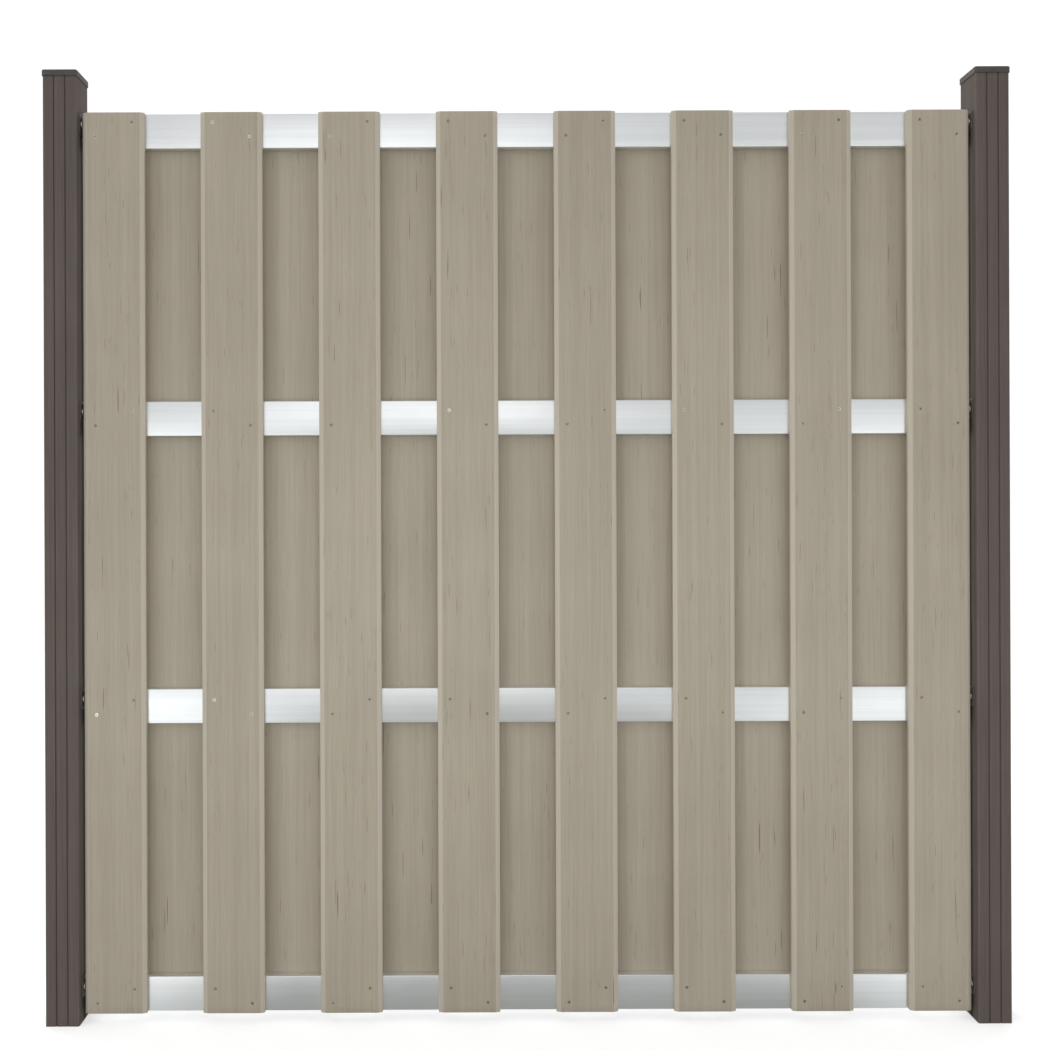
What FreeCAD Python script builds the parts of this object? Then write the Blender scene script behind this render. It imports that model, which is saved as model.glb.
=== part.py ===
import FreeCAD, Part
import math
import os

# Fence panel between two posts, in millimetres. X runs along the fence, the front faces -Y and Z is up.
# The origin lies on the ground, midway between the posts.

# Panel of upright boards
panel_width = 1800.0
panel_height = 1830.0
ground_clearance = 20.0
front_board_count = 8
front_board_width = 125.0
back_board_width = 140.0
board_thickness = 12.0
board_bevel_width = 9.0
board_bevel_depth = 3.0

# Cross rails, aluminium box section
rail_levels = ("bottom", "lower", "upper", "top")
rail_height = 70.0
rail_depth = 20.0
rail_wall = 1.8
rail_edge_bevel = 1.0

# Posts, square hollow extrusions with two grooves down the front and the back
post_size = 68.0
post_wall = 10.0
post_corner_radius = 3.0
post_chamber_bevel = 3.0
post_rise = 70.0
post_groove_width = 2.4
post_groove_depth = 1.6
post_groove_floor_share = 0.5
post_groove_place_shares = (1 / 3, 2 / 3)

# Caps pushed into the tops of the posts
cap_height = 13.0
cap_overhang = 2.0
cap_edge_bevel = 2.5
cap_skirt_depth = 25.0
cap_skirt_wall = 3.0
cap_fit_clearance = 0.3
cap_edge_limit_share = 0.8

# Angle brackets that hold the rail ends to the posts
bracket_thickness = 2.0
bracket_height = 40.0
bracket_post_leg = 32.0
bracket_rail_leg = 30.0
bracket_bend_radius = 2.0
panel_clearance = 3.0

# Board screws, countersunk. All screws and their holes are five-sided, which keeps their faces few.
screw_sides = 5
screw_head_diameter = 7.0
screw_head_depth = 2.2
screw_shank_diameter = 3.8
screw_edge_distance = 25.0
screw_offset_share = 0.21
screw_tip_gap = 2.0
screw_clearance = 0.1

# Bracket screws, pan head
pan_head_diameter = 13.0
pan_head_height = 3.0
pan_crown_share = 0.6
pan_shank_diameter = 4.2
post_screw_reach = 3.0
rail_screw_reach = 4.0

# How far a cutting shape runs past the face it cuts
overrun = 1.0

# Places that follow from the sizes above
up = FreeCAD.Vector(0, 0, 1)
across = FreeCAD.Vector(1, 0, 0)
sides = {"left": -1, "right": 1}
layers = {"front": -1, "back": 1}
board_widths = {"front": front_board_width, "back": back_board_width}
board_pitch = (panel_width - front_board_width) / (front_board_count - 1)
board_outer = rail_depth / 2 + board_thickness
rail_pitch = (panel_height - rail_height) / (len(rail_levels) - 1)
post_gap = bracket_thickness + pan_head_height + panel_clearance
post_face = panel_width / 2 + post_gap
post_centre = post_face + post_size / 2
post_length = ground_clearance + panel_height + post_rise
chamber_size = post_size - 2 * post_wall
bracket_bend = min(bracket_bend_radius, post_gap - bracket_thickness)
bracket_back = rail_depth / 2 + bracket_thickness
bracket_front = bracket_back - bracket_post_leg
post_hole_place = (bracket_front + rail_depth / 2 - bracket_bend) / 2
screw_length = board_thickness + rail_depth - rail_wall - rail_screw_reach - screw_tip_gap


def long_edges(block, axis):
    """Edges of a box that run along an axis."""
    return [edge for edge in block.Edges if round(abs(edge.tangentAt(edge.FirstParameter).dot(axis)))]


def square_bar(centre_x, foot, size, height):
    """Upright square bar, centred in Y."""
    corner = FreeCAD.Vector(centre_x - size / 2, -size / 2, foot)
    return Part.makeBox(size, size, height, corner)


def ring(centre, axis, radius):
    """Closed wire of equal sides, square to a level axis."""
    turns = [FreeCAD.Rotation(axis, 360 * k / screw_sides) for k in range(screw_sides + 1)]
    return Part.makePolygon([centre + turn.multVec(up * radius) for turn in turns])


def turned(start, axis, stations):
    """Solid along a level axis through (depth, radius) stations, measured from its start."""
    rings = [ring(start + axis * depth, axis, radius) for depth, radius in stations]
    return Part.makeLoft(rings, True, True)


def board_centre(layer, index):
    """Back boards stand behind the gaps between the front boards and overlap them."""
    first = (front_board_width - panel_width) / 2
    if layer == "back":
        first += board_pitch / 2
    return first + index * board_pitch


def board_count(layer):
    return front_board_count - (layer == "back")


def rail_centre(level):
    return ground_clearance + rail_height / 2 + rail_pitch * rail_levels.index(level)


def bracket_centre(level):
    """The bracket's top edge is level with the rail's."""
    return rail_centre(level) + (rail_height - bracket_height) / 2


def screw_points(layer, index, level):
    """Two heads on the outer face of a board, on a diagonal that changes from board to board."""
    slope = -1 if index % 2 else 1
    reach = board_widths[layer] / 2 - screw_edge_distance
    rise = rail_height * screw_offset_share
    face = layers[layer] * board_outer
    centre = FreeCAD.Vector(board_centre(layer, index), face, rail_centre(level))
    step = FreeCAD.Vector(reach, 0, slope * rise)
    return [centre - step, centre + step]


def board_screw(layer, point):
    inward = FreeCAD.Vector(0, -layers[layer], 0)
    stations = [
        (0, screw_head_diameter / 2),
        (screw_head_depth, screw_shank_diameter / 2),
        (screw_length, screw_shank_diameter / 2),
    ]
    return turned(point, inward, stations)


def board_screw_hole(layer, point):
    """Countersunk hole through a board and the near wall of the rail."""
    inward = FreeCAD.Vector(0, -layers[layer], 0)
    head = screw_head_diameter / 2 + screw_clearance
    shank = screw_shank_diameter / 2 + screw_clearance
    stations = [
        (-overrun, head),
        (0, head),
        (screw_head_depth, shank),
        (board_thickness + rail_wall + overrun, shank),
    ]
    return turned(point, inward, stations)


def pan_screw(point, inward, length):
    """Pan-head screw whose head rests on the point."""
    rim = pan_head_diameter / 2
    shank = pan_shank_diameter / 2
    head = turned(point, inward, [(-pan_head_height, pan_crown_share * rim), (0, rim)])
    return head.fuse(turned(point, inward, [(0, shank), (length, shank)])).removeSplitter()


def pan_screw_hole(point, inward, depth):
    shank = pan_shank_diameter / 2 + screw_clearance
    return turned(point, inward, [(-overrun, shank), (depth + overrun, shank)])


def post_screw_place(side, level):
    """Seat of a post screw on the bracket, and the way it is driven."""
    x = sides[side] * (post_face - bracket_thickness)
    return FreeCAD.Vector(x, post_hole_place, bracket_centre(level)), across * sides[side]


def rail_screw_place(side, level):
    """Seat of a rail screw on the back of the bracket, and the way it is driven."""
    x = sides[side] * (panel_width - bracket_rail_leg) / 2
    return FreeCAD.Vector(x, bracket_back, bracket_centre(level)), FreeCAD.Vector(0, -1, 0)


def board(layer, index):
    """Composite board with a flat bevel along both long edges of its outer face."""
    centre = board_centre(layer, index)
    half = board_widths[layer] / 2
    outline = [
        (-half, rail_depth / 2),
        (half, rail_depth / 2),
        (half, board_outer - board_bevel_depth),
        (half - board_bevel_width, board_outer),
        (board_bevel_width - half, board_outer),
        (-half, board_outer - board_bevel_depth),
        (-half, rail_depth / 2),
    ]
    points = [FreeCAD.Vector(centre + x, layers[layer] * y, ground_clearance) for x, y in outline]
    plank = Part.Face(Part.makePolygon(points)).extrude(up * panel_height)
    holes = [
        board_screw_hole(layer, point)
        for level in rail_levels
        for point in screw_points(layer, index, level)
    ]
    return plank.cut(holes)


def rail(level):
    """Aluminium box section, open at its ends, drilled for every screw that enters it."""
    middle = rail_centre(level)
    corner = FreeCAD.Vector(-panel_width / 2, -rail_depth / 2, middle - rail_height / 2)
    outer = Part.makeBox(panel_width, rail_depth, rail_height, corner)
    outer = outer.makeChamfer(rail_edge_bevel, long_edges(outer, across))
    inner = FreeCAD.Vector(-panel_width / 2 - overrun, rail_wall - rail_depth / 2, corner.z + rail_wall)
    hollow_depth = rail_depth - 2 * rail_wall
    hollow_height = rail_height - 2 * rail_wall
    hollow = Part.makeBox(panel_width + 2 * overrun, hollow_depth, hollow_height, inner)
    holes = [
        board_screw_hole(layer, point)
        for layer in layers
        for index in range(board_count(layer))
        for point in screw_points(layer, index, level)
    ]
    for side in sides:
        seat, inward = rail_screw_place(side, level)
        holes.append(pan_screw_hole(seat, inward, bracket_thickness + rail_wall))
    return outer.cut([hollow] + holes)


def post_groove(centre, place_share, layer):
    """Shallow groove with sloping sides, cut along the whole post."""
    middle = centre + post_size * (place_share - 1 / 2)
    half = post_groove_width / 2
    floor = half * post_groove_floor_share
    face = post_size / 2
    outline = [
        (-half, face),
        (-floor, face - post_groove_depth),
        (floor, face - post_groove_depth),
        (half, face),
        (half, face + overrun),
        (-half, face + overrun),
        (-half, face),
    ]
    points = [FreeCAD.Vector(middle + x, layers[layer] * y, -overrun) for x, y in outline]
    return Part.Face(Part.makePolygon(points)).extrude(up * (post_length + 2 * overrun))


def post(side):
    """Hollow square post, open at the foot and at the top."""
    centre = sides[side] * post_centre
    body = square_bar(centre, 0, post_size, post_length)
    body = body.makeFillet(post_corner_radius, long_edges(body, up))
    chamber = square_bar(centre, -overrun, chamber_size, post_length + 2 * overrun)
    cuts = [chamber.makeChamfer(post_chamber_bevel, long_edges(chamber, up))]
    for layer in layers:
        cuts += [post_groove(centre, share, layer) for share in post_groove_place_shares]
    for level in rail_levels:
        seat, inward = post_screw_place(side, level)
        cuts.append(pan_screw_hole(seat, inward, bracket_thickness + post_wall))
    return body.cut(cuts)


def post_cap(side):
    """Flat cap with a bevelled top edge and a hollow skirt that plugs the post."""
    centre = sides[side] * post_centre
    size = post_size + 2 * cap_overhang
    corner = post_corner_radius + cap_overhang
    plate = square_bar(centre, post_length, size, cap_height)
    plate = plate.makeFillet(corner, long_edges(plate, up))
    rim = [edge for edge in plate.Edges if edge.BoundBox.ZMin > post_length + cap_height / 2]
    plate = plate.makeChamfer(min(cap_edge_bevel, cap_edge_limit_share * corner), rim)
    plug_size = chamber_size - 2 * cap_fit_clearance
    plug_foot = post_length - cap_skirt_depth
    skirt = square_bar(centre, plug_foot, plug_size, cap_skirt_depth)
    skirt = skirt.makeChamfer(post_chamber_bevel, long_edges(skirt, up))
    well = square_bar(centre, plug_foot - overrun, plug_size - 2 * cap_skirt_wall, cap_skirt_depth + overrun)
    return plate.fuse(skirt.cut(well)).removeSplitter()


def bracket(side, level):
    """Bent angle: one leg on the post's inner face, the other behind the rail."""
    foot = bracket_centre(level) - bracket_height / 2
    end = post_gap + bracket_rail_leg
    bend_x = bracket_thickness + bracket_bend
    bend_y = rail_depth / 2 - bracket_bend
    slant = math.sqrt(1 / 2)

    def at(from_post, y):
        return FreeCAD.Vector(sides[side] * (post_face - from_post), y, foot)

    def bend(radius):
        start = at(bend_x - radius, bend_y)
        middle = at(bend_x - slant * radius, bend_y + slant * radius)
        return Part.Arc(start, middle, at(bend_x, bend_y + radius)).toShape()

    inside = bend(bracket_bend)
    outside = bend(bracket_bend + bracket_thickness)
    toe = Part.makePolygon([
        at(bracket_thickness, bend_y),
        at(bracket_thickness, bracket_front),
        at(0, bracket_front),
        at(0, bend_y),
    ])
    heel = Part.makePolygon([
        at(bend_x, rail_depth / 2),
        at(end, rail_depth / 2),
        at(end, bracket_back),
        at(bend_x, bracket_back),
    ])
    edges = toe.Edges + heel.Edges + [inside, outside]
    outline = Part.Wire(Part.sortEdges(edges)[0])
    angle = Part.Face(outline).extrude(up * bracket_height)
    seats = [post_screw_place(side, level), rail_screw_place(side, level)]
    return angle.cut([pan_screw_hole(seat, inward, bracket_thickness) for seat, inward in seats])


def board_screws(layer, level):
    """All the screws that hold one layer of boards to one rail."""
    return Part.Compound([
        board_screw(layer, point)
        for index in range(board_count(layer))
        for point in screw_points(layer, index, level)
    ])


def post_screws(side):
    length = bracket_thickness + post_wall + post_screw_reach
    places = [post_screw_place(side, level) for level in rail_levels]
    return Part.Compound([pan_screw(seat, inward, length) for seat, inward in places])


def rail_screws(side):
    length = bracket_thickness + rail_wall + rail_screw_reach
    places = [rail_screw_place(side, level) for level in rail_levels]
    return Part.Compound([pan_screw(seat, inward, length) for seat, inward in places])


pieces = {}
for layer in layers:
    for index in range(board_count(layer)):
        pieces[f"{layer}_board_{index + 1}"] = board(layer, index)
for level in rail_levels:
    pieces[f"rail_{level}"] = rail(level)
    for layer in layers:
        pieces[f"{layer}_screws_{level}"] = board_screws(layer, level)
for side in sides:
    pieces[f"post_{side}"] = post(side)
    pieces[f"post_cap_{side}"] = post_cap(side)
    pieces[f"post_screws_{side}"] = post_screws(side)
    pieces[f"rail_screws_{side}"] = rail_screws(side)
    for level in rail_levels:
        pieces[f"bracket_{side}_{level}"] = bracket(side, level)

os.makedirs("parts", exist_ok=True)
for name, shape in pieces.items():
    shape.exportStep(f"parts/{name}.step")
print(len(pieces), "pieces written")
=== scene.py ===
import bpy
import bmesh
import math
import random
from mathutils import Matrix, Vector


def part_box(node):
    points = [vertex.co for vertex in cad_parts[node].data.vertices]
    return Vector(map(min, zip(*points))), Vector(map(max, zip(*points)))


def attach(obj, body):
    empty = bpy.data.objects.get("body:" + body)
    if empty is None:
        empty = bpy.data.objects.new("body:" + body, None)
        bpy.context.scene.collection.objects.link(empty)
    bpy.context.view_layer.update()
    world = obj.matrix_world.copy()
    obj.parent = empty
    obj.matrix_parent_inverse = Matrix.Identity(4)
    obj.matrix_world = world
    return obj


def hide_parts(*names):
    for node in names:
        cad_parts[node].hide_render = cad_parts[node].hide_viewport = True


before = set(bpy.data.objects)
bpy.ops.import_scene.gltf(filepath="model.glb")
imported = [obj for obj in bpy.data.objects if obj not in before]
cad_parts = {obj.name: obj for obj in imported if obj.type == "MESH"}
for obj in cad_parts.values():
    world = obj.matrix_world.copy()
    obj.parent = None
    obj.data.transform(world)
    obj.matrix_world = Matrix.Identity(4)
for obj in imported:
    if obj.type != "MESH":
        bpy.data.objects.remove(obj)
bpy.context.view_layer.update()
levels = ("bottom", "lower", "upper", "top")
sides = {"left": -1, "right": 1}
print("frame loaded:", len(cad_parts), "nodes")


# small helpers for node trees
def feed(tree, source, socket):
    if isinstance(source, bpy.types.NodeSocket):
        tree.links.new(source, socket)
    else:
        socket.default_value = source


def maths(tree, operation, first, second=0.0, third=0.0, clamp=False):
    node = tree.nodes.new("ShaderNodeMath")
    node.operation = operation
    node.use_clamp = clamp
    for socket, source in zip(node.inputs, (first, second, third)):
        feed(tree, source, socket)
    return node.outputs[0]


def stretchRange(tree, value, low, high, newLow=0.0, newHigh=1.0):
    node = tree.nodes.new("ShaderNodeMapRange")
    node.interpolation_type = "SMOOTHSTEP"
    for socket, source in zip(node.inputs, (value, low, high, newLow, newHigh)):
        feed(tree, source, socket)
    return node.outputs[0]


def mixColour(tree, share, first, second):
    node = tree.nodes.new("ShaderNodeMix")
    node.data_type = "RGBA"
    for index, source in ((0, share), (6, first), (7, second)):  # its factor and colour sockets
        feed(tree, source, node.inputs[index])
    return node.outputs[2]


# one colour laid over another, as far as a mask and its weight allow
def layColour(tree, under, over, mask, weight):
    return mixColour(tree, maths(tree, "MULTIPLY", mask, weight), under, over)


def noise(tree, vector, scale, detail=2.0, roughness=0.5):
    node = tree.nodes.new("ShaderNodeTexNoise")
    for name, source in (("Vector", vector), ("Scale", scale), ("Detail", detail), ("Roughness", roughness)):
        feed(tree, source, node.inputs[name])
    return node.outputs[0]


def attribute(tree, name):
    node = tree.nodes.new("ShaderNodeAttribute")
    node.attribute_name = name
    return node.outputs["Fac"]


def axes(tree, vector):
    node = tree.nodes.new("ShaderNodeSeparateXYZ")
    feed(tree, vector, node.inputs[0])
    return node.outputs


def stretched(tree, vector, stretch):
    node = tree.nodes.new("ShaderNodeVectorMath")
    node.operation = "MULTIPLY"
    feed(tree, vector, node.inputs[0])
    feed(tree, stretch, node.inputs[1])
    return node.outputs[0]


def startGroup(name, inputs, outputs):
    tree = bpy.data.node_groups.new(name, "ShaderNodeTree")
    for label, kind, value in inputs:
        socket = tree.interface.new_socket(label, in_out="INPUT", socket_type=kind)
        socket.default_value = value
    for label in outputs:
        tree.interface.new_socket(label, in_out="OUTPUT", socket_type="NodeSocketFloat")
    return tree, tree.nodes.new("NodeGroupInput").outputs, tree.nodes.new("NodeGroupOutput").inputs


# brushing drawn out along one axis: fine lines, and the broader bands they lie in
brushing = {
    "lineDetail": (3.0, 0.6), "lineRange": (0.28, 0.72),
    "narrow": 0.19, "wide": 0.043, "bandDetail": 2.0, "bandMix": 0.5, "bandRange": (0.36, 0.64),
}


def brushedLinesGroup():
    tree, given, put = startGroup("brushedLines", (
        ("Vector", "NodeSocketVector", (0, 0, 0)),
        ("Stretch", "NodeSocketVector", (1, 1, 1)),
        ("Fineness", "NodeSocketFloat", 900.0)), ("Lines", "Bands"))
    drawn = stretched(tree, given["Vector"], given["Stretch"])
    fine = noise(tree, drawn, given["Fineness"], *brushing["lineDetail"])
    narrowScale = maths(tree, "MULTIPLY", given["Fineness"], brushing["narrow"])
    wideScale = maths(tree, "MULTIPLY", given["Fineness"], brushing["wide"])
    narrow = noise(tree, drawn, narrowScale, brushing["bandDetail"])
    wide = noise(tree, drawn, wideScale, brushing["bandDetail"])
    bands = maths(tree, "MULTIPLY", narrow, 1.0 - brushing["bandMix"])
    bands = maths(tree, "MULTIPLY_ADD", wide, brushing["bandMix"], bands)
    feed(tree, stretchRange(tree, fine, *brushing["lineRange"]), put["Lines"])
    feed(tree, stretchRange(tree, bands, *brushing["bandRange"]), put["Bands"])
    return tree


# short dark dashes where a fibre was torn out by the brush
tearing = {"detail": 1.0, "patch": 0.11, "edge": 0.06, "patchRange": (0.46, 0.58)}


def grainDashesGroup():
    tree, given, put = startGroup("grainDashes", (
        ("Vector", "NodeSocketVector", (0, 0, 0)),
        ("Stretch", "NodeSocketVector", (1, 1, 1)),
        ("Fineness", "NodeSocketFloat", 300.0),
        ("Bare", "NodeSocketFloat", 0.66)), ("Dashes",))
    drawn = stretched(tree, given["Vector"], given["Stretch"])
    single = noise(tree, drawn, given["Fineness"], tearing["detail"])
    patchScale = maths(tree, "MULTIPLY", given["Fineness"], tearing["patch"])
    patch = noise(tree, drawn, patchScale, tearing["detail"])
    torn = stretchRange(tree, single, given["Bare"], maths(tree, "ADD", given["Bare"], tearing["edge"]))
    inPatch = stretchRange(tree, patch, *tearing["patchRange"])
    feed(tree, maths(tree, "MULTIPLY", torn, inPatch), put["Dashes"])
    return tree


# slow change of tone over a surface
clouding = {"detail": (3.0, 0.55), "range": (0.3, 0.7)}


def slowToneGroup():
    tree, given, put = startGroup("slowTone", (
        ("Vector", "NodeSocketVector", (0, 0, 0)),
        ("Size", "NodeSocketFloat", 3.0)), ("Tone",))
    cloud = noise(tree, given["Vector"], given["Size"], *clouding["detail"])
    feed(tree, stretchRange(tree, cloud, *clouding["range"]), put["Tone"])
    return tree


# pebbled skin of moulded plastic and sprayed coating
pebbling = {
    "pebbleDetail": (2.0, 0.6), "pebbleRange": (0.3, 0.7),
    "speck": 0.45, "speckDetail": (4.0, 0.7), "speckRange": (0.35, 0.68),
}


def mouldedSkinGroup():
    tree, given, put = startGroup("mouldedSkin", (
        ("Vector", "NodeSocketVector", (0, 0, 0)),
        ("Grain", "NodeSocketFloat", 900.0)), ("Pebble", "Speck"))
    pebble = noise(tree, given["Vector"], given["Grain"], *pebbling["pebbleDetail"])
    speckScale = maths(tree, "MULTIPLY", given["Grain"], pebbling["speck"])
    speck = noise(tree, given["Vector"], speckScale, *pebbling["speckDetail"])
    feed(tree, stretchRange(tree, pebble, *pebbling["pebbleRange"]), put["Pebble"])
    feed(tree, stretchRange(tree, speck, *pebbling["speckRange"]), put["Speck"])
    return tree


brushedLines = brushedLinesGroup()
grainDashes = grainDashesGroup()
slowTone = slowToneGroup()
mouldedSkin = mouldedSkinGroup()


def useGroup(tree, group, **values):
    node = tree.nodes.new("ShaderNodeGroup")
    node.node_tree = group
    for name, value in values.items():
        feed(tree, value, node.inputs[name])
    return node.outputs


def startFinish(name):
    finish = bpy.data.materials.new(name)
    finish.use_nodes = True
    tree = finish.node_tree
    shader = tree.nodes["Principled BSDF"]
    place = tree.nodes.new("ShaderNodeTexCoord").outputs["Object"]
    return finish, tree, shader, place


def bumpInto(tree, shader, height, strength, distance):
    node = tree.nodes.new("ShaderNodeBump")
    node.inputs["Strength"].default_value = strength
    node.inputs["Distance"].default_value = distance
    feed(tree, height, node.inputs["Height"])
    feed(tree, node.outputs[0], shader.inputs["Normal"])


# how light a brushed surface is: lines, bands, slow clouds and the piece's own tone, which on the posts'
# grooves is painted shade
def brushedShare(tree, look, brushed, cloud):
    share = maths(tree, "MULTIPLY_ADD", brushed["Lines"], look["lineShare"], look["baseShare"])
    share = maths(tree, "MULTIPLY_ADD", brushed["Bands"], look["bandShare"], share)
    share = maths(tree, "MULTIPLY_ADD", cloud, look["cloudShare"], share)
    return maths(tree, "ADD", share, attribute(tree, "tone"), clamp=True)


# smooth where the value is high
def mattness(tree, look, value):
    return stretchRange(tree, value, 0.0, 1.0, look["rough"], look["smooth"])


boardLook = {
    "light": (0.455, 0.405, 0.32, 1), "dark": (0.342, 0.3, 0.231, 1), "dash": (0.16, 0.132, 0.102, 1),
    "planed": (0.515, 0.468, 0.388, 1), "sawn": (0.3, 0.262, 0.205, 1),
    "upright": (1, 1, 0.011), "fineness": 850.0, "cloudSize": 4.0, "flourGrain": 700.0,
    "torn": {"Stretch": (1, 1, 0.04), "Fineness": 500.0, "Bare": 0.675},
    "fibres": {"Stretch": (1, 1, 0.03), "Fineness": 330.0, "Bare": 0.71},
    "baseShare": 0.08, "lineShare": 0.36, "bandShare": 0.3, "cloudShare": 0.22,
    "tornShare": 0.6, "fibreShare": 0.8, "planedShare": 0.8, "sawnShare": 0.45, "flourShare": 0.5,
    "smooth": 0.44, "rough": 0.6, "planedSmoother": 0.08, "shine": 0.34,
    "lineHeight": 0.6, "bandHeight": 0.4, "planedRelief": 0.25, "bump": (0.3, 0.0003),
}


def boardFinish():
    look = boardLook
    finish, tree, shader, place = startFinish("boardComposite")
    brushed = useGroup(tree, brushedLines, Vector=place, Stretch=look["upright"], Fineness=look["fineness"])
    torn = useGroup(tree, grainDashes, Vector=place, **look["torn"])["Dashes"]
    fibres = useGroup(tree, grainDashes, Vector=place, **look["fibres"])["Dashes"]
    cloud = useGroup(tree, slowTone, Vector=place, Size=look["cloudSize"])["Tone"]
    flour = useGroup(tree, mouldedSkin, Vector=place, Grain=look["flourGrain"])["Speck"]
    planed, sawn = attribute(tree, "planed"), attribute(tree, "sawn")
    colour = mixColour(tree, brushedShare(tree, look, brushed, cloud), look["dark"], look["light"])
    colour = layColour(tree, colour, look["dash"], torn, look["tornShare"])
    colour = layColour(tree, colour, look["dash"], fibres, look["fibreShare"])
    colour = layColour(tree, colour, look["planed"], planed, look["planedShare"])
    sawnShare = maths(tree, "MULTIPLY_ADD", flour, look["flourShare"], look["sawnShare"])
    colour = layColour(tree, colour, look["sawn"], sawn, sawnShare)
    feed(tree, colour, shader.inputs["Base Color"])
    matt = mattness(tree, look, brushed["Lines"])
    feed(tree, maths(tree, "MULTIPLY_ADD", planed, -look["planedSmoother"], matt), shader.inputs["Roughness"])
    shader.inputs["Specular IOR Level"].default_value = look["shine"]
    relief = maths(tree, "MULTIPLY", brushed["Bands"], look["bandHeight"])
    relief = maths(tree, "MULTIPLY_ADD", brushed["Lines"], look["lineHeight"], relief)
    relief = maths(tree, "SUBTRACT", relief, torn)
    onFace = maths(tree, "MULTIPLY_ADD", planed, look["planedRelief"] - 1.0, 1.0)
    bumpInto(tree, shader, maths(tree, "MULTIPLY", relief, onFace), *look["bump"])
    return finish


postLook = {
    "light": (0.147, 0.122, 0.109, 1), "dark": (0.098, 0.08, 0.071, 1), "worn": (0.17, 0.146, 0.132, 1),
    "upright": (1, 1, 0.008), "fineness": 900.0, "cloudSize": 5.0,
    "torn": {"Stretch": (1, 1, 0.07), "Fineness": 420.0, "Bare": 0.7},
    "baseShare": 0.05, "lineShare": 0.45, "bandShare": 0.25, "cloudShare": 0.22,
    "tornShare": 0.35, "wornShare": 0.15, "wornCloud": 0.35,
    "paintedShade": (0.035, 0.027, 0.023, 1), "shadeSide": (0.9095, 0.9085), "shadeFront": (-0.011, -0.004),
    "shadeBack": (0.01, 0.004), "shadeTop": (1.862, 1.838), "shadeWander": 0.004,
    "smooth": 0.56, "rough": 0.7, "shine": 0.08, "bandHeight": 0.4, "bump": (0.22, 0.00025),
}


def postFinish():
    look = postLook
    finish, tree, shader, place = startFinish("postComposite")
    brushed = useGroup(tree, brushedLines, Vector=place, Stretch=look["upright"], Fineness=look["fineness"])
    torn = useGroup(tree, grainDashes, Vector=place, **look["torn"])["Dashes"]
    cloud = useGroup(tree, slowTone, Vector=place, Size=look["cloudSize"])["Tone"]
    colour = mixColour(tree, brushedShare(tree, look, brushed, cloud), look["dark"], look["light"])
    colour = layColour(tree, colour, look["dark"], torn, look["tornShare"])
    rubbed = maths(tree, "MULTIPLY_ADD", cloud, look["wornCloud"], look["wornShare"])
    colour = layColour(tree, colour, look["worn"], attribute(tree, "worn"), rubbed)
    # painted shade on the inner face, where the panel's end stands close to it: a dark strip for the shadow
    # in the narrow gap
    x, y, z = axes(tree, place)
    wander = maths(tree, "MULTIPLY_ADD", cloud, look["shadeWander"], y)
    shadeAmount = stretchRange(tree, maths(tree, "ABSOLUTE", x), *look["shadeSide"])
    for value, reach in ((wander, "shadeFront"), (wander, "shadeBack"), (z, "shadeTop")):
        shadeAmount = maths(tree, "MULTIPLY", shadeAmount, stretchRange(tree, value, *look[reach]))
    feed(tree, mixColour(tree, shadeAmount, colour, look["paintedShade"]), shader.inputs["Base Color"])
    feed(tree, mattness(tree, look, brushed["Lines"]), shader.inputs["Roughness"])
    shader.inputs["Specular IOR Level"].default_value = look["shine"]
    relief = maths(tree, "MULTIPLY_ADD", brushed["Bands"], look["bandHeight"], brushed["Lines"])
    bumpInto(tree, shader, relief, *look["bump"])
    return finish


railLook = {
    "bright": (0.945, 0.96, 0.967, 1), "dull": (0.835, 0.858, 0.87, 1),
    "along": (0.004, 1, 1), "fineness": 900.0, "cloudSize": 7.0,
    "lineShare": 0.4, "bandShare": 0.5, "cloudShare": 0.1,
    "smooth": 0.29, "rough": 0.34, "cloudMatt": 0.05, "drawn": 0.75, "turn": 0.25,
    "bandHeight": 0.8, "bump": (0.016, 0.0001),
}


def railFinish():
    look = railLook
    finish, tree, shader, place = startFinish("railAluminium")
    drawn = useGroup(tree, brushedLines, Vector=place, Stretch=look["along"], Fineness=look["fineness"])
    cloud = useGroup(tree, slowTone, Vector=place, Size=look["cloudSize"])["Tone"]
    share = maths(tree, "MULTIPLY", drawn["Bands"], look["bandShare"])
    share = maths(tree, "MULTIPLY_ADD", drawn["Lines"], look["lineShare"], share)
    share = maths(tree, "MULTIPLY_ADD", cloud, look["cloudShare"], share)
    feed(tree, mixColour(tree, share, look["dull"], look["bright"]), shader.inputs["Base Color"])
    matt = mattness(tree, look, drawn["Lines"])
    feed(tree, maths(tree, "MULTIPLY_ADD", cloud, look["cloudMatt"], matt), shader.inputs["Roughness"])
    shader.inputs["Metallic"].default_value = 1.0
    shader.inputs["Anisotropic"].default_value = look["drawn"]
    shader.inputs["Anisotropic Rotation"].default_value = look["turn"]
    relief = maths(tree, "MULTIPLY_ADD", drawn["Bands"], look["bandHeight"], drawn["Lines"])
    bumpInto(tree, shader, relief, *look["bump"])
    return finish


# what moulded plastic and sprayed coating have in common, then each one's own values
pebbledLook = {
    "cloudSize": 40.0, "speckShare": 0.65, "cloudShare": 0.3, "wornShare": 0.1, "wornCloud": 0.4,
    "bump": (0.35, 0.0003),
}
capLook = {
    **pebbledLook, "grain": 620.0, "smooth": 0.4, "rough": 0.58,
    "light": (0.072, 0.069, 0.067, 1), "dark": (0.037, 0.035, 0.034, 1), "worn": (0.1, 0.097, 0.094, 1),
}
coatLook = {
    **pebbledLook, "grain": 1500.0, "smooth": 0.36, "rough": 0.5,
    "light": (0.115, 0.096, 0.087, 1), "dark": (0.085, 0.07, 0.063, 1), "worn": (0.15, 0.13, 0.12, 1),
}


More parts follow.
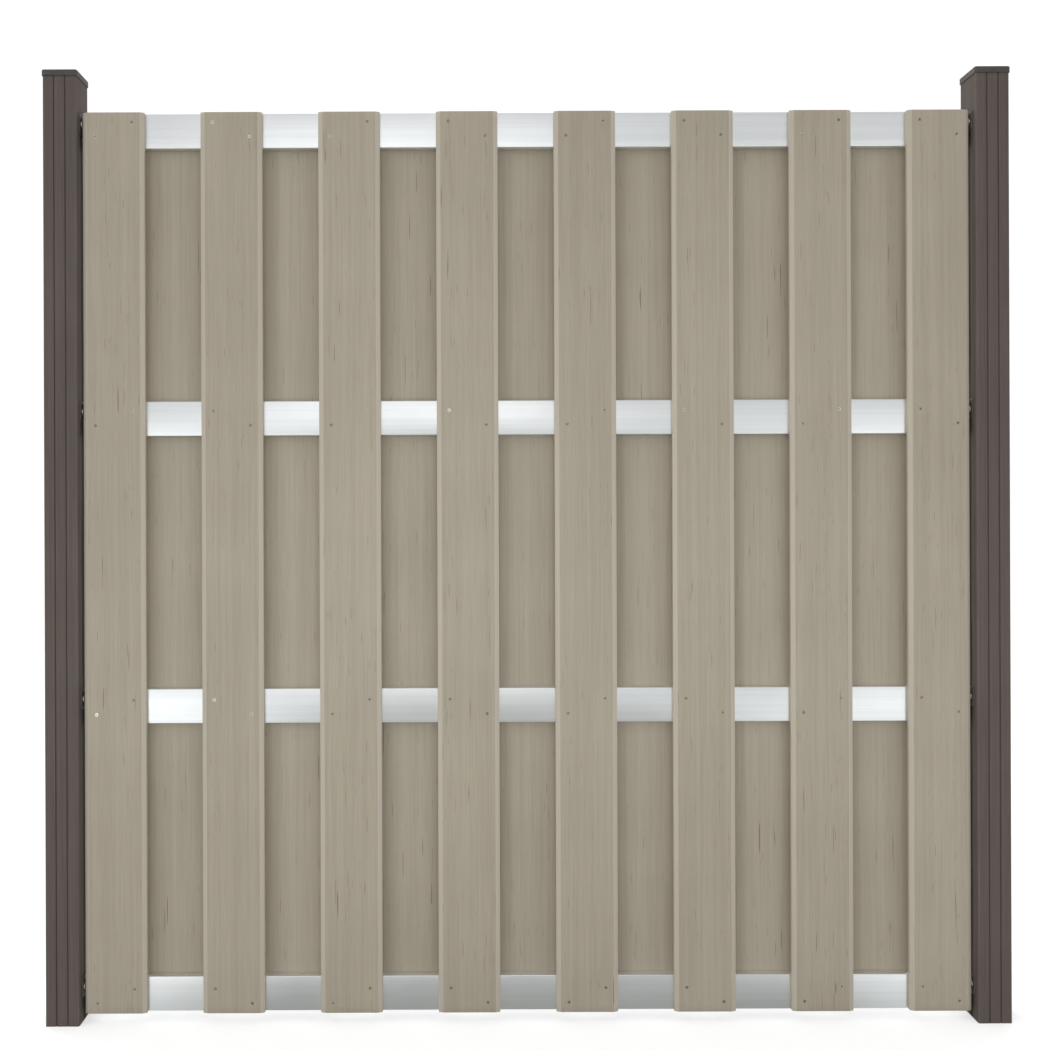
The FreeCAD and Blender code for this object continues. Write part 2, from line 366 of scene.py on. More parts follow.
def pebbledFinish(name, look):
    finish, tree, shader, place = startFinish(name)
    skin = useGroup(tree, mouldedSkin, Vector=place, Grain=look["grain"])
    cloud = useGroup(tree, slowTone, Vector=place, Size=look["cloudSize"])["Tone"]
    share = maths(tree, "MULTIPLY", cloud, look["cloudShare"])
    share = maths(tree, "MULTIPLY_ADD", skin["Speck"], look["speckShare"], share)
    colour = mixColour(tree, share, look["dark"], look["light"])
    rubbed = maths(tree, "MULTIPLY_ADD", cloud, look["wornCloud"], look["wornShare"])
    colour = layColour(tree, colour, look["worn"], attribute(tree, "worn"), rubbed)
    feed(tree, colour, shader.inputs["Base Color"])
    feed(tree, mattness(tree, look, skin["Pebble"]), shader.inputs["Roughness"])
    bumpInto(tree, shader, skin["Pebble"], *look["bump"])
    return finish


screwLook = {
    "bright": (0.76, 0.735, 0.69, 1), "dull": (0.285, 0.247, 0.19, 1), "paintedShade": (0.15, 0.128, 0.097, 1),
    "cloudSize": 260.0, "grain": 2600.0, "cloudShare": 0.12, "recessShadeShare": 0.6, "recessShadeCloud": 0.3,
    "clean": 0.22, "dusty": 0.4, "tarnished": 0.35, "brightFrom": 0.6, "bump": (0.06, 0.0001),
}


def screwFinish():
    look = screwLook
    finish, tree, shader, place = startFinish("screwSteel")
    cloud = useGroup(tree, slowTone, Vector=place, Size=look["cloudSize"])["Tone"]
    skin = useGroup(tree, mouldedSkin, Vector=place, Grain=look["grain"])
    share = maths(tree, "MULTIPLY_ADD", cloud, look["cloudShare"], attribute(tree, "tone"), clamp=True)
    colour = mixColour(tree, share, look["dull"], look["bright"])
    # painted shade: the drive recess is laid over with a dark colour, more in some patches
    shadeAmount = maths(tree, "MULTIPLY_ADD", cloud, look["recessShadeCloud"], look["recessShadeShare"])
    colour = layColour(tree, colour, look["paintedShade"], attribute(tree, "recess"), shadeAmount)
    feed(tree, colour, shader.inputs["Base Color"])
    feed(tree, stretchRange(tree, cloud, 0.0, 1.0, look["clean"], look["dusty"]), shader.inputs["Roughness"])
    metal = stretchRange(tree, share, 0.0, look["brightFrom"], look["tarnished"], 1.0)
    feed(tree, metal, shader.inputs["Metallic"])
    bumpInto(tree, shader, skin["Pebble"], *look["bump"])
    return finish


boardComposite = boardFinish()
postComposite = postFinish()
railAluminium = railFinish()
capPlastic = pebbledFinish("capPlastic", capLook)
bracketCoating = pebbledFinish("bracketCoating", coatLook)
screwSteel = screwFinish()
print("finishes made")


# mesh helpers, and the limits they pick faces and edges by
xAxis, yAxis, zAxis = range(3)
samePlace = 1e-6  # points closer than this count as one
cutSlack = 1e-7  # points this close to a cut lie on it
looseFit = 1e-5  # room for rounding
squareOn = 0.99  # share of a normal along an axis, from which a face is square to it
sharpFold = 1.2  # angle between two faces, from which their edge is a corner


def once(parts):
    return list(dict.fromkeys(parts))  # not a set, so that the order is the same each run


def freshFaces(verts):
    return once(face for vert in verts for face in vert.link_faces)


def onlyVerts(parts):
    return [part for part in parts if isinstance(part, bmesh.types.BMVert)]


def allParts(bm):
    return bm.verts[:] + bm.edges[:] + bm.faces[:]


def liesAt(part, axis, place):
    return all(abs(vert.co[axis] - place) < samePlace for vert in part.verts)


def runsAlong(edge, axis):
    return abs(edge.verts[0].co[axis] - edge.verts[1].co[axis]) > samePlace


def cutAcross(bm, parts, axis, place):
    line = Vector((0, 0, 0))
    line[axis] = 1.0
    bmesh.ops.bisect_plane(bm, geom=parts, dist=cutSlack, plane_co=line * place, plane_no=line)


def softEdges(bm, edges, offset, segments):
    return bmesh.ops.bevel(bm, geom=edges, offset=offset, offset_type="OFFSET", segments=segments,
                           profile=0.5, affect="EDGES", material=-1, clamp_overlap=True)["faces"]


def startMesh(*masks):
    bm = bmesh.new()
    for name in masks:
        bm.faces.layers.float.new(name)
    return bm


def paintFaces(bm, name, faces, value):
    layer = bm.faces.layers.float[name]
    for face in faces:
        face[layer] = value


def block(bm, low, high):
    verts = bmesh.ops.create_cube(bm, size=1.0)["verts"]
    bmesh.ops.scale(bm, vec=high - low, verts=verts)
    bmesh.ops.translate(bm, vec=(low + high) / 2, verts=verts)
    return verts


# a flat outline drawn up into a bar
def raiseOutline(bm, corners, bottom, top):
    foot = bm.faces.new([bm.verts.new((x, y, bottom)) for x, y in corners])
    grown = bmesh.ops.extrude_face_region(bm, geom=[foot])["geom"]
    bmesh.ops.translate(bm, vec=(0, 0, top - bottom), verts=onlyVerts(grown))
    bmesh.ops.recalc_face_normals(bm, faces=bm.faces)


def finishPiece(name, bm, finish, node, crease):
    bm.normal_update()
    for face in bm.faces:
        face.smooth = True
    for edge in bm.edges:
        edge.smooth = len(edge.link_faces) == 2 and edge.calc_face_angle(0.0) < math.radians(crease)
    mesh = bpy.data.meshes.new(name)
    bm.to_mesh(mesh)
    bm.free()
    mesh.materials.append(finish)
    piece = bpy.data.objects.new(name, mesh)
    bpy.context.scene.collection.objects.link(piece)
    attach(piece, "root")
    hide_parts(node)


boardSpec = {
    "bevelWidth": 0.009, "bevelDepth": 0.003, "arris": 0.0005, "arrisSteps": 2, "crease": 32.0,
    "sinkRadius": 0.0037, "sinkDepth": 0.0026, "sinkBase": 0.0021, "sinkStep": math.pi / 8,
    "patch": 0.0055, "patchCuts": 3, "patchDigits": 6, "flatFrom": 0.985, "sawnFrom": 0.3,
    "screwInset": 0.025, "screwRise": 0.0147, "toneSpread": 0.07, "seed": 11,
}


# two screws at each rail, on a diagonal that changes direction from board to board
def screwSpots(index, low, high, level):
    railLow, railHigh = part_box("rail_" + level)
    middle, reach = (low.x + high.x) / 2, (high.x - low.x) / 2 - boardSpec["screwInset"]
    centre, rise = (railLow.z + railHigh.z) / 2, boardSpec["screwRise"]
    turn = 1 if index % 2 == 0 else -1
    return [(middle - reach, centre - turn * rise), (middle + reach, centre + turn * rise)]


def boardMesh(low, high, outward, spots, tone):
    spec = boardSpec
    face, inner = (high.y, low.y) if outward > 0 else (low.y, high.y)
    shoulder = face - outward * spec["bevelDepth"]
    inset = spec["bevelWidth"]
    bm = startMesh("planed", "sawn", "tone")
    corners = ((low.x, inner), (high.x, inner), (high.x, shoulder), (high.x - inset, face),
               (low.x + inset, face), (low.x, shoulder))
    raiseOutline(bm, corners, low.z, high.z)
    softEdges(bm, bm.edges[:], spec["arris"], spec["arrisSteps"])
    bm.normal_update()
    sawn = [f for f in bm.faces if abs(f.normal.z) > spec["sawnFrom"]]
    planed = [f for f in bm.faces
              if abs(f.normal.y) < spec["flatFrom"] and abs(f.normal.z) < spec["sawnFrom"]]
    paintFaces(bm, "sawn", sawn, 1.0)
    paintFaces(bm, "planed", planed, 1.0)
    # a square of the outer face is cut free round each screw, and a round countersink let into it
    half, digits = spec["patch"], spec["patchDigits"]
    cuts = {(round(x + way * half, digits), xAxis) for x, z in spots for way in (-1, 1)}
    cuts |= {(round(z + way * half, digits), zAxis) for x, z in spots for way in (-1, 1)}
    for place, axis in sorted(cuts):
        cutAcross(bm, allParts(bm), axis, place)
    for x, z in spots:
        point = Vector((x, face, z))
        patch = min((f for f in bm.faces if f.normal.y * outward > squareOn),
                    key=lambda f: (f.calc_center_median() - point).length)
        bmesh.ops.subdivide_edges(bm, edges=patch.edges[:], cuts=spec["patchCuts"])
        bmesh.ops.inset_region(bm, faces=[patch], thickness=half - spec["sinkRadius"])
        for vert in patch.verts:
            angle = round(math.atan2(vert.co.z - z, vert.co.x - x) / spec["sinkStep"]) * spec["sinkStep"]
            vert.co = point + spec["sinkRadius"] * Vector((math.cos(angle), 0, math.sin(angle)))
        bm.normal_update()
        bmesh.ops.inset_region(bm, faces=[patch], thickness=spec["sinkRadius"] - spec["sinkBase"],
                               depth=-spec["sinkDepth"], use_even_offset=True)
    bmesh.ops.recalc_face_normals(bm, faces=bm.faces)
    paintFaces(bm, "tone", bm.faces, tone)
    return bm


boardSides = {"front": (8, -1), "back": (7, 1)}  # boards in each layer, and the way they face
boardChance = random.Random(boardSpec["seed"])
screwPlaces = {}
for layer, (count, outward) in boardSides.items():
    for index in range(count):
        node = f"{layer}_board_{index + 1}"
        low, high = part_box(node)
        outer = high.y if outward > 0 else low.y
        spots = []
        for level in levels:
            pair = screwSpots(index, low, high, level)
            spots += pair
            screwPlaces.setdefault((layer, level), []).extend(Vector((x, outer, z)) for x, z in pair)
        tone = boardChance.uniform(-1, 1) * boardSpec["toneSpread"]
        bm = boardMesh(low, high, outward, spots, tone)
        finishPiece(f"{layer}Board{index + 1}", bm, boardComposite, node,
                    boardSpec["crease"])
print("boards made")


# an open tube along one axis, its long corners rounded
def sleeve(bm, low, high, axis, offset, segments, inner=False):
    verts = block(bm, low, high)
    if inner:
        bmesh.ops.reverse_faces(bm, faces=freshFaces(verts))
    bm.normal_update()
    ends = [face for face in freshFaces(verts) if abs(face.normal[axis]) > squareOn]
    bmesh.ops.delete(bm, geom=ends, context="FACES_ONLY")
    edges = once(edge for vert in verts for edge in vert.link_edges)
    return softEdges(bm, [edge for edge in edges if runsAlong(edge, axis)], offset, segments)


def closeEnds(bm, low, high, axis):
    for end in (low[axis], high[axis]):
        rims = [edge for edge in bm.edges if edge.is_boundary and liesAt(edge, axis, end)]
        bmesh.ops.bridge_loops(bm, edges=rims)
    bmesh.ops.recalc_face_normals(bm, faces=bm.faces)


railSpec = {
    "corner": 0.0014, "cornerSteps": 3, "wall": 0.0018, "innerCorner": 0.0007, "innerSteps": 1,
    "crease": 40.0,
}
for level in levels:
    spec = railSpec
    low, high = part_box("rail_" + level)
    wall = Vector((0, spec["wall"], spec["wall"]))
    bm = bmesh.new()
    sleeve(bm, low, high, xAxis, spec["corner"], spec["cornerSteps"])
    sleeve(bm, low + wall, high - wall, xAxis, spec["innerCorner"], spec["innerSteps"], inner=True)
    closeEnds(bm, low, high, xAxis)
    finishPiece(f"{level}Rail", bm, railAluminium, "rail_" + level, spec["crease"])
print("rails made")


postSpec = {
    "corner": 0.003, "cornerSteps": 4, "groove": 0.0024, "grooveDepth": 0.0016,
    "grooveShares": (1 / 3, 2 / 3), "lip": 0.0002, "lipSteps": 2,
    "chamber": 0.048, "chamberBevel": 0.003, "chamberSteps": 1, "crease": 40.0,
    "tones": {"left": 0.04, "right": -0.04}, "grooveShade": -0.6,
}


def postMesh(low, high, tone):
    spec = postSpec
    bm = startMesh("worn", "tone")
    paintFaces(bm, "worn", sleeve(bm, low, high, zAxis, spec["corner"], spec["cornerSteps"]), 1.0)
    places = [low.x + (high.x - low.x) * share for share in spec["grooveShares"]]
    for place in places:
        for way in (-1, 1):
            cutAcross(bm, allParts(bm), xAxis, place + way * spec["groove"] / 2)
    bm.normal_update()
    strips = [f for f in bm.faces if abs(f.normal.y) > squareOn
              and max(v.co.x for v in f.verts) - min(v.co.x for v in f.verts) < spec["groove"] + looseFit]
    for strip in strips:
        inward = -strip.normal * spec["grooveDepth"]
        grown = bmesh.ops.extrude_face_region(bm, geom=[strip])["geom"]
        bmesh.ops.translate(bm, vec=inward, verts=onlyVerts(grown))
    bm.normal_update()
    ends = [f for f in bm.faces if abs(f.normal.z) > squareOn]
    bmesh.ops.delete(bm, geom=strips + ends, context="FACES")
    lips = [e for e in bm.edges if len(e.link_faces) == 2 and e.calc_face_angle(0.0) > sharpFold
            and all(min(v.co.y - low.y, high.y - v.co.y) < samePlace for v in e.verts)]
    softEdges(bm, lips, spec["lip"], spec["lipSteps"])
    middle, half = (low + high) / 2, spec["chamber"] / 2
    chamberLow = Vector((middle.x - half, middle.y - half, low.z))
    chamberHigh = Vector((middle.x + half, middle.y + half, high.z))
    sleeve(bm, chamberLow, chamberHigh, zAxis, spec["chamberBevel"], spec["chamberSteps"], inner=True)
    closeEnds(bm, low, high, zAxis)
    paintFaces(bm, "tone", bm.faces, tone)
    # painted shade: the faces down in the grooves get a much darker tone
    for face in bm.faces:
        spot = face.calc_center_median()
        depth = min(spot.y - low.y, high.y - spot.y)
        sunk = looseFit < depth < spec["grooveDepth"] + looseFit
        if sunk and min(abs(spot.x - place) for place in places) < spec["groove"]:
            paintFaces(bm, "tone", [face], spec["grooveShade"])
    return bm


for side in sides:
    low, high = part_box("post_" + side)
    bm = postMesh(low, high, postSpec["tones"][side])
    finishPiece(f"{side}Post", bm, postComposite, "post_" + side, postSpec["crease"])
print("posts made")


capSpec = {
    "corner": 0.005, "cornerSteps": 5, "topEdge": 0.0027, "topSteps": 4, "foot": 0.0009, "footSteps": 2,
    "skirt": 0.025, "skirtInset": 0.0122, "skirtWall": 0.003, "skirtCorner": 0.0028, "skirtInner": 0.0014,
    "skirtSteps": 2, "crease": 40.0,
}


def capMesh(low, high):
    spec = capSpec
    bm = startMesh("worn")
    soleLevel = low.z + spec["skirt"]
    block(bm, Vector((low.x, low.y, soleLevel)), high)
    softEdges(bm, [e for e in bm.edges if runsAlong(e, zAxis)], spec["corner"], spec["cornerSteps"])
    bm.normal_update()
    lid = max(bm.faces, key=lambda f: f.normal.z)
    paintFaces(bm, "worn", softEdges(bm, lid.edges[:], spec["topEdge"], spec["topSteps"]), 1.0)
    bm.normal_update()
    sole = min(bm.faces, key=lambda f: f.normal.z * f.calc_area())
    softEdges(bm, sole.edges[:], spec["foot"], spec["footSteps"])
    # a square is cut free in the underside, and the skirt that plugs into the post drawn down from its rim
    inset, middle = spec["skirtInset"], (low + high) / 2
    for axis in (xAxis, yAxis):
        for place in (low[axis] + inset, high[axis] - inset):
            flat = [f for f in bm.faces if liesAt(f, zAxis, soleLevel)]
            rims = once(part for f in flat for part in f.verts[:] + f.edges[:])
            cutAcross(bm, flat + rims, axis, place)
    patch = min((f for f in bm.faces if liesAt(f, zAxis, soleLevel)),
                key=lambda f: (f.calc_center_median() - middle).xy.length)
    rim = bmesh.ops.inset_region(bm, faces=[patch], thickness=spec["skirtWall"],
                                 use_even_offset=True)["faces"]
    drawn = onlyVerts(bmesh.ops.extrude_face_region(bm, geom=rim)["geom"])
    bmesh.ops.translate(bm, vec=(0, 0, -spec["skirt"]), verts=drawn)
    bmesh.ops.delete(bm, geom=rim, context="FACES")
    upright = [e for vert in drawn for e in vert.link_edges if runsAlong(e, zAxis)]
    reach = (high.x - low.x) / 2 - inset - spec["skirtWall"] / 2
    for far, offset in ((True, spec["skirtCorner"]), (False, spec["skirtInner"])):
        corners = [e for e in upright if e.is_valid and (abs(e.verts[0].co.x - middle.x) > reach) == far]
        softEdges(bm, corners, offset, spec["skirtSteps"])
    bmesh.ops.recalc_face_normals(bm, faces=bm.faces)
    return bm


for side in sides:
    low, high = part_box("post_cap_" + side)
    finishPiece(f"{side}PostCap", capMesh(low, high), capPlastic, "post_cap_" + side,
                capSpec["crease"])
print("caps made")


driveSpec = {"lobes": 6, "notch": 0.72, "taper": 0.12, "mark": 1}


# six-lobed drive let into the middle of a head, its faces marked by their material index
def sinkDrive(bm, crown, radius, depth):
    spec = driveSpec
    span = max(vert.co.xy.length for vert in crown.verts)
    bmesh.ops.inset_region(bm, faces=[crown], thickness=span - radius, use_even_offset=True)
    step = len(crown.verts) // spec["lobes"]
    notches = [vert for index, vert in enumerate(crown.verts) if index % step == 0]
    bmesh.ops.scale(bm, vec=(spec["notch"], spec["notch"], 1), verts=notches)
    walls = bmesh.ops.inset_region(bm, faces=[crown], thickness=radius * spec["taper"], depth=-depth,
                                   use_even_offset=True)["faces"]
    for face in walls + [crown]:
        face.material_index = spec["mark"]


# a rim drawn down by one step, and in to a share of its width
def growRim(bm, edges, share, drop):
    grown = bmesh.ops.extrude_edge_only(bm, edges=edges)["geom"]
    verts = onlyVerts(grown)
    bmesh.ops.scale(bm, vec=(share, share, 1), verts=verts)
    bmesh.ops.translate(bm, vec=(0, 0, -drop), verts=verts)
    return [part for part in grown if isinstance(part, bmesh.types.BMEdge)
            and all(vert in verts for vert in part.verts)], verts


def startHead(spec):
    bm = bmesh.new()
    rim = bmesh.ops.create_circle(bm, cap_ends=True, radius=spec["headRadius"], segments=spec["sides"])
    return bm, rim["verts"], rim["verts"][0].link_faces[0]


def closePoint(bm, crown, verts, length):
    bmesh.ops.pointmerge(bm, verts=verts, merge_co=(0, 0, -length))
    bm.normal_update()
    if crown.normal.z < 0:
        bmesh.ops.reverse_faces(bm, faces=bm.faces)


def saveShape(bm, name):
    bmesh.ops.recalc_face_normals(bm, faces=bm.faces)
    mesh = bpy.data.meshes.new(name)
    bm.to_mesh(mesh)
    bm.free()
    return mesh


boardScrew = {
    "sides": 18, "headRadius": 0.0035, "headDepth": 0.0022, "shankRadius": 0.0019, "length": 0.0238,
    "tipShare": 0.25, "drive": 0.0017, "driveDepth": 0.0014, "crease": 28.0,
    "sink": 0.0004, "sinkFrom": 0.2, "lean": 2.2, "tarnish": 4, "seed": 23,
}


def boardScrewShape():
    spec = boardScrew
    bm, _, crown = startHead(spec)
    edges, low = growRim(bm, crown.edges[:], spec["shankRadius"] / spec["headRadius"], spec["headDepth"])
    edges, low = growRim(bm, edges, spec["tipShare"], spec["length"] - spec["headDepth"])
    closePoint(bm, crown, low, spec["length"])
    sinkDrive(bm, crown, spec["drive"], spec["driveDepth"])
    return saveShape(bm, "boardScrewShape")


panScrew = {
    "sides": 18, "headRadius": 0.0065, "flange": 0.0006, "shankRadius": 0.0021, "tip": 0.003, "tipShare": 0.3,
    "dome": ((0.00015, 0.0006), (0.00035, 0.0006), (0.0006, 0.0005), (0.0009, 0.0004), (0.0012, 0.00025)),
    "drive": 0.0018, "driveDepth": 0.0016, "crease": 28.0, "toneFrom": 0.75, "seed": 31,
}


# the head's seat is at zero, its dome above and its shank below
def panScrewShape(shank):
    spec = panScrew
    bm, rim, crown = startHead(spec)
    bmesh.ops.translate(bm, vec=(0, 0, spec["flange"]), verts=rim)
    edges, low = growRim(bm, crown.edges[:], 1.0, spec["flange"])
    edges, low = growRim(bm, edges, spec["shankRadius"] / spec["headRadius"], 0.0)
    edges, low = growRim(bm, edges, 1.0, shank - spec["tip"])
    edges, low = growRim(bm, edges, spec["tipShare"], spec["tip"])
    closePoint(bm, crown, low, shank)
    for thickness, depth in spec["dome"]:
        bmesh.ops.inset_region(bm, faces=[crown], thickness=thickness, depth=depth, use_even_offset=True)
    sinkDrive(bm, crown, spec["drive"], spec["driveDepth"])
    return saveShape(bm, "panScrewShape")


def stampScrews(shape, places):
    bm = startMesh("tone", "recess")
    stamped = []
    for place, tone in places:
        firstVert, firstFace = len(bm.verts), len(bm.faces)
        bm.from_mesh(shape)
        bm.verts.ensure_lookup_table()
        bmesh.ops.transform(bm, matrix=place, verts=bm.verts[firstVert:])
        stamped.append((firstFace, len(bm.faces), tone))
    bm.faces.ensure_lookup_table()
    for first, last, tone in stamped:
        paintFaces(bm, "tone", bm.faces[first:last], tone)
    marked = [face for face in bm.faces if face.material_index == driveSpec["mark"]]
    paintFaces(bm, "recess", marked, 1.0)
    for face in marked:
        face.material_index = 0
    return bm


def pointing(direction, spin, lean=(0.0, 0.0)):
    turn = Vector(direction).to_track_quat("Z", "Y").to_matrix().to_4x4()
    tilt = Matrix.Rotation(lean[0], 4, "X") @ Matrix.Rotation(lean[1], 4, "Y")
    return turn @ tilt @ Matrix.Rotation(spin, 4, "Z")


boardScrewMesh = boardScrewShape()
screwChance = random.Random(boardScrew["seed"])
for (layer, level), points in screwPlaces.items():
    outward = boardSides[layer][1]
    places = []
    for point in points:
        sink = screwChance.uniform(boardScrew["sinkFrom"], 1.0) * boardScrew["sink"]
        lean = [math.radians(screwChance.uniform(-1, 1) * boardScrew["lean"]) for axis in (xAxis, yAxis)]
        turn = pointing((0, outward, 0), screwChance.uniform(0, math.tau), lean)
        seat = Matrix.Translation(point - Vector((0, outward * sink, 0)))
        places.append((seat @ turn, screwChance.random() ** boardScrew["tarnish"]))
    bm = stampScrews(boardScrewMesh, places)
    finishPiece(f"{layer}Screws_{level}", bm, screwSteel, f"{layer}_screws_{level}",
                boardScrew["crease"])

panSeats = {
    "post": {"x": 0.906, "y": -0.006, "drop": 0.02, "shank": 0.0148},
    "rail": {"x": 0.885, "y": 0.012, "drop": 0.02, "shank": 0.0077},
}
panScrewMeshes = {kind: panScrewShape(seat["shank"]) for kind, seat in panSeats.items()}
panChance = random.Random(panScrew["seed"])
for side, way in sides.items():
    for kind, seat in panSeats.items():
        facing = (-way, 0, 0) if kind == "post" else (0, 1, 0)
        places = []
        for level in levels:
            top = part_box("rail_" + level)[1].z
            spot = Vector((way * seat["x"], seat["y"], top - seat["drop"]))
            turn = pointing(facing, panChance.uniform(0, math.tau))
            places.append((Matrix.Translation(spot) @ turn, panChance.uniform(panScrew["toneFrom"], 1.0)))
        bm = stampScrews(panScrewMeshes[kind], places)
        finishPiece(f"{side}{kind.capitalize()}Screws", bm, screwSteel,
                    f"{kind}_screws_{side}", panScrew["crease"])
for shape in (boardScrewMesh, *panScrewMeshes.values()):
    bpy.data.meshes.remove(shape)
print("screws made")


bracketSpec = {
    "thickness": 0.002, "bend": 0.002, "bendSteps": 4, "corner": 0.006, "cornerSteps": 4,
    "edge": 0.0003, "edgeSteps": 2, "crease": 40.0,
}


# bent from flat plate: one leg on the post, one behind the rail, their free corners rounded
def bracketMesh(postX, endX, low, high):
    spec = bracketSpec
    thick = spec["thickness"]
    innerX, innerY = postX + math.copysign(thick, endX - postX), high.y - thick
    bm = startMesh("worn")
    corners = ((postX, low.y), (postX, high.y), (endX, high.y), (endX, innerY), (innerX, innerY),
               (innerX, low.y))
    raiseOutline(bm, corners, low.z, high.z)
    for x, y, radius in ((postX, high.y, spec["bend"] + thick), (innerX, innerY, spec["bend"])):
        fold = [edge for edge in bm.edges if liesAt(edge, xAxis, x) and liesAt(edge, yAxis, y)]
        softEdges(bm, fold, radius, spec["bendSteps"])
    free = [edge for edge in bm.edges if abs(edge.calc_length() - thick) < samePlace
            and (liesAt(edge, yAxis, low.y) or liesAt(edge, xAxis, endX))]
    softEdges(bm, free, spec["corner"], spec["cornerSteps"])
    bm.normal_update()
    rims = [edge for edge in bm.edges if edge.calc_face_angle(0.0) > sharpFold]
    paintFaces(bm, "worn", softEdges(bm, rims, spec["edge"], spec["edgeSteps"]), 1.0)
    return bm


for side in sides:
    for level in levels:
        node = f"bracket_{side}_{level}"
        low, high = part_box(node)
        postX, endX = (low.x, high.x) if side == "left" else (high.x, low.x)
        finishPiece(f"{side}Bracket_{level}", bracketMesh(postX, endX, low, high), bracketCoating,
                    node, bracketSpec["crease"])
print("brackets made")


# floor, surroundings and lights
studio = {
    "floorSize": 40.0, "floorSides": 64, "floorTone": (0.49, 0.475, 0.44, 1),
    "mirroredTone": (0.408, 0.416, 0.4, 1), "mirroredSide": (0.93, 0.95, 0.95, 1), "sideReach": (0.52, 0.88),
    "floorRough": 0.85, "floorShine": 0.2,
    "floorSeen": (0.8, 0.8, 0.8, 1), "seenRough": 0.9, "floorGlow": 0.4, "white": (1, 1, 1, 1),
    "front": 0.63, "above": 0.6, "aboveReach": (0.4, 0.95), "backdrop": 1.05,
    "strips": ((-1, 0.44, 2.35), (1, 0.6, 2.8)), "stripRise": 0.12, "stripEnd": (0.8, 0.68),
    "softboxes": {
        "keyLeft": {"place": (-1.4, -2.1, 0.35), "aim": (-0.1, 0, 0.9), "size": (0.6, 0.5), "power": 1.3},
        "keyRight": {"place": (2.5, -4.0, 0.22), "aim": (0.1, 0, 0.9), "size": (0.9, 0.4), "power": 3.0},
        "fillFront": {"place": (-0.45, -3.1, 2.0), "aim": (-0.2, 0, 0.95), "size": (1.6, 1.9), "power": 6.0},
        "fillLow": {"place": (0.2, -3.1, 1.45), "aim": (0.1, 0, 1.25), "size": (1.0, 0.5), "power": 1.2},
        "lowStrip": {"place": (0, -1.2, 0.78), "aim": (0, 0, 0.78), "size": (2.4, 0.3), "power": 3.5,
                     "tint": (0.93, 1.0, 1.06), "mirrored": False},
        "rearLeft": {"place": (-2.4, 2.6, 2.2), "aim": (0, 0, 1.0), "size": (1.2, 1.2), "power": 12.0},
        "rearRight": {"place": (2.4, 2.6, 2.2), "aim": (0, 0, 1.0), "size": (1.2, 1.2), "power": 12.0},
    },
}


# a pale floor: the camera sees it almost white, with soft shadows
# the rails mirror it with painted light and shade: darker in the middle and paler at the sides
def floorFinish():
    finish, tree, shader, place = startFinish("paleFloor")
    aside = stretchRange(tree, maths(tree, "ABSOLUTE", axes(tree, place)["X"]), *studio["sideReach"])
    mirrored = mixColour(tree, aside, studio["mirroredTone"], studio["mirroredSide"])
    ray = tree.nodes.new("ShaderNodeLightPath").outputs
    tone = mixColour(tree, ray["Is Glossy Ray"], studio["floorTone"], mirrored)
    feed(tree, tone, shader.inputs["Base Color"])
    shader.inputs["Roughness"].default_value = studio["floorRough"]
    shader.inputs["Specular IOR Level"].default_value = studio["floorShine"]
    seen = tree.nodes.new("ShaderNodeBsdfPrincipled")
    seen.inputs["Base Color"].default_value = studio["floorSeen"]
    seen.inputs["Roughness"].default_value = studio["seenRough"]
    seen.inputs["Specular IOR Level"].default_value = 0.0
    seen.inputs["Emission Color"].default_value = studio["white"]
    seen.inputs["Emission Strength"].default_value = studio["floorGlow"]
    choose = tree.nodes.new("ShaderNodeMixShader")
    for index, source in enumerate((ray["Is Camera Ray"], shader.outputs[0], seen.outputs[0])):
        tree.links.new(source, choose.inputs[index])
    tree.links.new(choose.outputs[0], tree.nodes["Material Output"].inputs["Surface"])
    return finish


bm = bmesh.new()
bmesh.ops.create_circle(bm, cap_ends=True, radius=studio["floorSize"], segments=studio["floorSides"])
floorMesh = bpy.data.meshes.new("studioFloor")
bm.to_mesh(floorMesh)
bm.free()
floorMesh.materials.append(floorFinish())
floor = bpy.data.objects.new("studioFloor", floorMesh)
bpy.context.scene.collection.objects.link(floor)

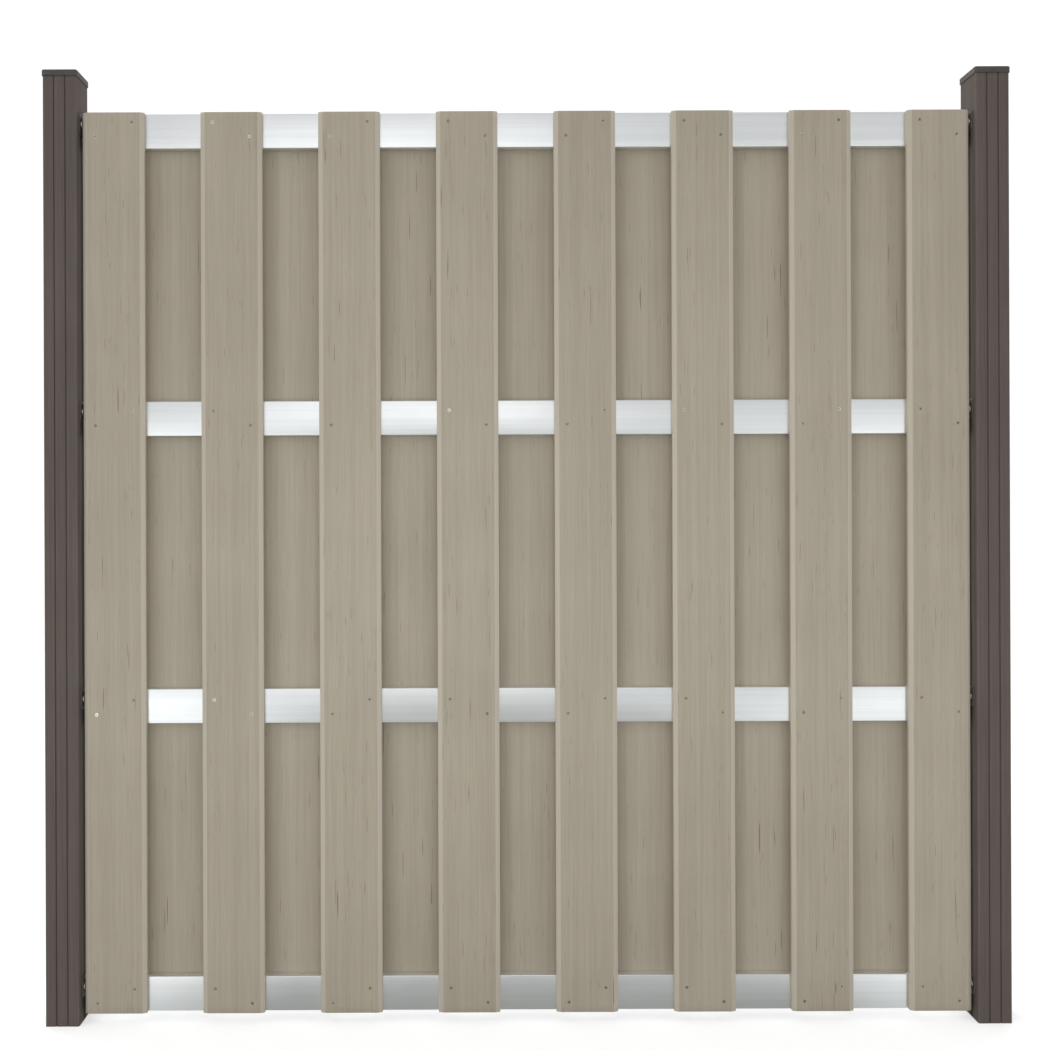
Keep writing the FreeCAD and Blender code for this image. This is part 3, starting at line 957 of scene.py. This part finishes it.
# soft light from all round, stronger from both sides, and a white backdrop
world = bpy.data.worlds.new("studioAir")
bpy.context.scene.world = world
world.use_nodes = True
air = world.node_tree
air.nodes.clear()
toward = axes(air, air.nodes.new("ShaderNodeTexCoord").outputs["Generated"])
brightness = studio["front"]
for way, edge, strength in studio["strips"]:
    across = maths(air, "MULTIPLY", toward["X"], way)
    strip = maths(air, "MULTIPLY", stretchRange(air, across, edge, edge + studio["stripRise"]),
                  stretchRange(air, across, *studio["stripEnd"]))
    brightness = maths(air, "MULTIPLY_ADD", strip, strength - studio["front"], brightness)
above = stretchRange(air, toward["Z"], *studio["aboveReach"], 0.0, studio["above"] - studio["front"])
glow, backdrop = air.nodes.new("ShaderNodeBackground"), air.nodes.new("ShaderNodeBackground")
feed(air, maths(air, "ADD", brightness, above), glow.inputs["Strength"])
backdrop.inputs["Strength"].default_value = studio["backdrop"]
choose = air.nodes.new("ShaderNodeMixShader")
air.links.new(air.nodes.new("ShaderNodeLightPath").outputs["Is Camera Ray"], choose.inputs[0])
for index, shade in ((1, glow), (2, backdrop)):
    shade.inputs["Color"].default_value = studio["white"]
    air.links.new(shade.outputs[0], choose.inputs[index])
air.links.new(choose.outputs[0], air.nodes.new("ShaderNodeOutputWorld").inputs["Surface"])

for name, box in studio["softboxes"].items():
    lamp = bpy.data.lights.new(name, "AREA")
    lamp.shape = "RECTANGLE"
    lamp.size, lamp.size_y = box["size"]
    lamp.energy = box["power"]
    lamp.color = box.get("tint", studio["white"][:3])
    stand = bpy.data.objects.new(name, lamp)
    stand.location = box["place"]
    stand.rotation_euler = (Vector(box["aim"]) - Vector(box["place"])).to_track_quat("-Z", "Y").to_euler()
    stand.visible_camera = False
    stand.visible_glossy = box.get("mirrored", True)
    bpy.context.scene.collection.objects.link(stand)
bpy.context.scene.view_settings.view_transform = "Standard"
print("stage set")

shot = {
    "place": (-0.125, -2.225, 1.0726), "roll": 0.0035,
    "sensor": 36.0, "lens": 37.21, "shift": (0.0569, -0.0295),
}
lens = bpy.data.cameras.new("photoView")
lens.sensor_width = shot["sensor"]
lens.lens = shot["lens"]
lens.shift_x, lens.shift_y = shot["shift"]
camera = bpy.data.objects.new("photoView", lens)
camera.location = shot["place"]
camera.rotation_euler = (math.pi / 2, shot["roll"], 0)
bpy.context.scene.collection.objects.link(camera)
bpy.context.scene.camera = camera
print("camera set")
